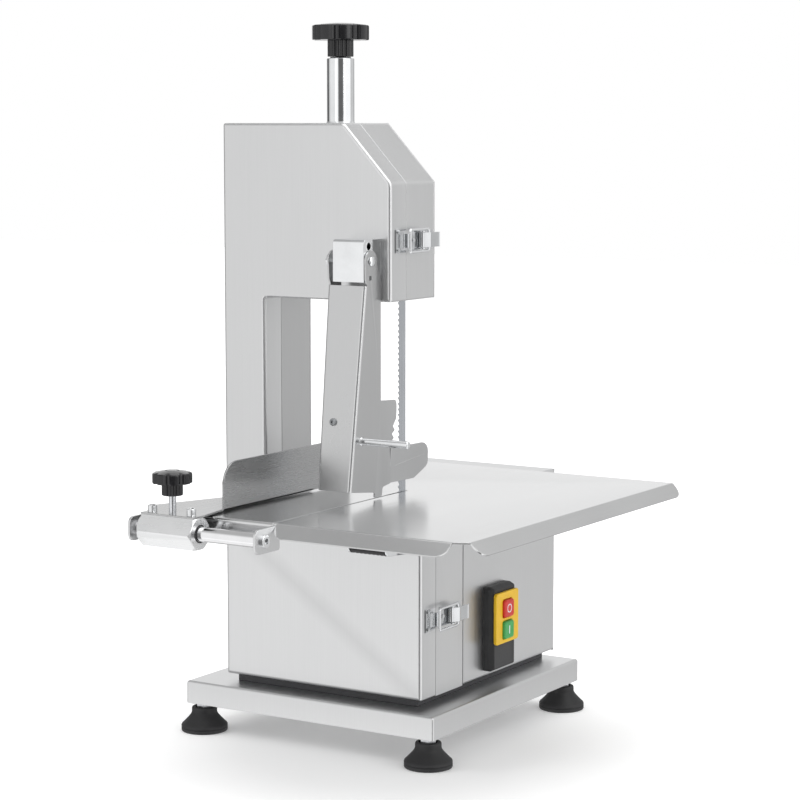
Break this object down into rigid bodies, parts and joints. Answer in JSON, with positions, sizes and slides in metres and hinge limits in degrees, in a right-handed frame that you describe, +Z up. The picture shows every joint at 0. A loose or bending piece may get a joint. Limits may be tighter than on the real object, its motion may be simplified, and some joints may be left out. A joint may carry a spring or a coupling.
{
  "type": "bench-top bone saw",
  "caption": "Bench-top band saw for meat and bone: stainless C-frame over a motor cabinet, two band wheels, a table with a sliding fence, and a swinging pusher.",
  "frame": {"origin": "on the bench, under the middle of the machine's bounding box", "axes": "+X is the operator's right, -Y is the front, +Z is up"},
  "size_m": [0.5144, 0.5864, 0.83],
  "materials": {
    "stainless_brushed": "fine brushed stainless sheet",
    "stainless_bright": "bright polished stainless",
    "table_steel": "satin stainless with soft reflections",
    "fence_steel": "satin stainless plate",
    "pusher_steel": "satin stainless pressing",
    "chrome_rod": "chromed round bar",
    "zinc_steel": "zinc plated",
    "aluminium_block": "satin, turned ends",
    "wheel_alloy": "turned",
    "black_knob": "glossy moulded",
    "black_housing": "fine texture",
    "black_rubber": "matte",
    "plinth_dark": "matte",
    "motor_paint": "satin enamel",
    "slide_steel": "machined and oiled",
    "blade_steel": "ground strip",
    "spring_steel": "oiled wire",
    "guide_brass": "machined",
    "yellow_plastic": "semi gloss",
    "red_plastic": "semi gloss",
    "green_plastic": "semi gloss"
  },
  "bodies": {
    "frame": {"base_tray": "stainless_brushed", "plinth": "plinth_dark", "foot_studs": "zinc_steel", "frame_back_plate": "stainless_brushed", "column_shell": "stainless_brushed", "head_shell": "stainless_brushed", "cabinet_shell": "stainless_brushed", "motor_box": "stainless_brushed", "rear_panel": "stainless_brushed", "cable_gland": "black_housing", "motor": "motor_paint", "carriage_rails": "slide_steel", "tension_tube": "chrome_rod", "tension_spring": "spring_steel", "spring_cup": "slide_steel", "blade": "blade_steel", "blade_guides": "guide_brass", "table_top": "table_steel", "table_ribs": "stainless_brushed", "rod_bracket": "stainless_brushed", "guide_rod": "chrome_rod", "rod_screws": "stainless_bright", "frame_leaves": "stainless_bright", "latch_bases": "stainless_bright", "switch_housing": "black_housing", "switch_bezel": "yellow_plastic"},
    "foot_front_left": {"foot_pad_front_left": "black_rubber"},
    "foot_front_right": {"foot_pad_front_right": "black_rubber"},
    "foot_rear_left": {"foot_pad_rear_left": "black_rubber"},
    "foot_rear_right": {"foot_pad_rear_right": "black_rubber"},
    "lower_wheel": {"lower_wheel": "wheel_alloy", "motor_shaft": "zinc_steel"},
    "carriage": {"carriage": "slide_steel", "upper_axle": "zinc_steel", "tension_rod": "zinc_steel"},
    "upper_wheel": {"upper_wheel": "wheel_alloy", "upper_bearings": "slide_steel"},
    "tension_knob": {"tension_knob": "black_knob"},
    "fence": {"slide_block": "aluminium_block", "fence_plate": "fence_steel", "fence_bolts": "stainless_bright"},
    "lock_knob": {"lock_knob": "black_knob", "lock_stud": "zinc_steel"},
    "upper_cover": {"upper_cover": "stainless_brushed", "pusher_bracket": "stainless_bright", "pusher_pivot": "stainless_bright", "upper_strike": "stainless_bright"},
    "pusher": {"pusher_arm": "pusher_steel", "pusher_handle": "chrome_rod"},
    "lower_door": {"lower_door": "stainless_brushed", "door_leaves": "stainless_bright", "door_pull_grip": "black_housing", "door_pull_posts": "stainless_bright", "lower_strike": "stainless_bright"},
    "upper_latch_lever": {"upper_latch_lever": "stainless_bright"},
    "upper_latch_bail": {"upper_latch_bail": "stainless_bright"},
    "lower_latch_lever": {"lower_latch_lever": "stainless_bright"},
    "lower_latch_bail": {"lower_latch_bail": "stainless_bright"},
    "stop_button": {"stop_button": "red_plastic"},
    "start_button": {"start_button": "green_plastic"}
  },
  "joints": [
    {"name": "foot_front_left_swivel", "type": "hinge", "parent": "frame", "child": "foot_front_left", "pos_m": [-0.22972, -0.05125, 0.02], "axis": [0, 0, 1], "continuous": true},
    {"name": "foot_front_right_swivel", "type": "hinge", "parent": "frame", "child": "foot_front_right", "pos_m": [0.08128, -0.05125, 0.02], "axis": [0, 0, 1], "continuous": true},
    {"name": "foot_rear_left_swivel", "type": "hinge", "parent": "frame", "child": "foot_rear_left", "pos_m": [-0.22972, 0.26575, 0.02], "axis": [0, 0, 1], "continuous": true},
    {"name": "foot_rear_right_swivel", "type": "hinge", "parent": "frame", "child": "foot_rear_right", "pos_m": [0.08128, 0.26575, 0.02], "axis": [0, 0, 1], "continuous": true},
    {"name": "lower_wheel_spin", "type": "hinge", "parent": "frame", "child": "lower_wheel", "pos_m": [-0.07272, 0.00825, 0.165], "axis": [0, 1, 0], "continuous": true},
    {"name": "tension_knob_turn", "type": "hinge", "parent": "frame", "child": "tension_knob", "pos_m": [-0.07272, 0.00825, 0.8], "axis": [0, 0, 1], "range_deg": [0, 823]},
    {"name": "carriage_slide", "type": "slide", "parent": "frame", "child": "carriage", "axis": [0, 0, 1], "range_m": [-0.004, 0]},
    {"name": "upper_wheel_spin", "type": "hinge", "parent": "carriage", "child": "upper_wheel", "pos_m": [-0.07272, 0.00825, 0.617], "axis": [0, 1, 0], "continuous": true},
    {"name": "fence_slide", "type": "slide", "parent": "frame", "child": "fence", "axis": [1, 0, 0], "range_m": [-0.008, 0.042]},
    {"name": "lock_knob_turn", "type": "hinge", "parent": "fence", "child": "lock_knob", "pos_m": [-0.10522, -0.27175, 0.32], "axis": [0, 0, 1], "range_deg": [0, 360]},
    {"name": "upper_cover_lift_off", "type": "slide", "parent": "frame", "child": "upper_cover", "axis": [0, -1, 0], "range_m": [0, 0.12]},
    {"name": "pusher_swing", "type": "hinge", "parent": "upper_cover", "child": "pusher", "pos_m": [-0.00992, -0.06375, 0.565], "axis": [-1, 0, 0], "range_deg": [0, 95]},
    {"name": "lower_door_hinge", "type": "hinge", "parent": "frame", "child": "lower_door", "pos_m": [-0.20772, -0.00855, 0.162], "axis": [0, 0, -1], "range_deg": [0, 105]},
    {"name": "upper_latch_turn", "type": "hinge", "parent": "frame", "child": "upper_latch_lever", "pos_m": [0.03078, 0.01725, 0.586], "axis": [0, 0, -1], "range_deg": [0, 105]},
    {"name": "upper_bail_turn", "type": "hinge", "parent": "upper_latch_lever", "child": "upper_latch_bail", "pos_m": [0.03478, 0.02525, 0.586], "axis": [0, 0, 1], "range_deg": [0, 131.25]},
    {"name": "lower_latch_turn", "type": "hinge", "parent": "frame", "child": "lower_latch_lever", "pos_m": [0.07018, 0.01725, 0.16], "axis": [0, 0, -1], "range_deg": [0, 105]},
    {"name": "lower_bail_turn", "type": "hinge", "parent": "lower_latch_lever", "child": "lower_latch_bail", "pos_m": [0.07418, 0.02525, 0.16], "axis": [0, 0, 1], "range_deg": [0, 131.25]},
    {"name": "stop_button_press", "type": "slide", "parent": "frame", "child": "stop_button", "axis": [-1, 0, 0], "range_m": [0, 0.003], "stiffness_N_per_m": 300},
    {"name": "start_button_press", "type": "slide", "parent": "frame", "child": "start_button", "axis": [-1, 0, 0], "range_m": [0, 0.003], "stiffness_N_per_m": 300}
  ],
  "couplings": [
    {"joint": "tension_knob_turn", "follows": "carriage_slide", "rad_per_m": -3591},
    {"joint": "upper_wheel_spin", "follows": "lower_wheel_spin", "ratio": 1},
    {"joint": "upper_bail_turn", "follows": "upper_latch_turn", "ratio": 1.25},
    {"joint": "lower_bail_turn", "follows": "lower_latch_turn", "ratio": 1.25}
  ]
}
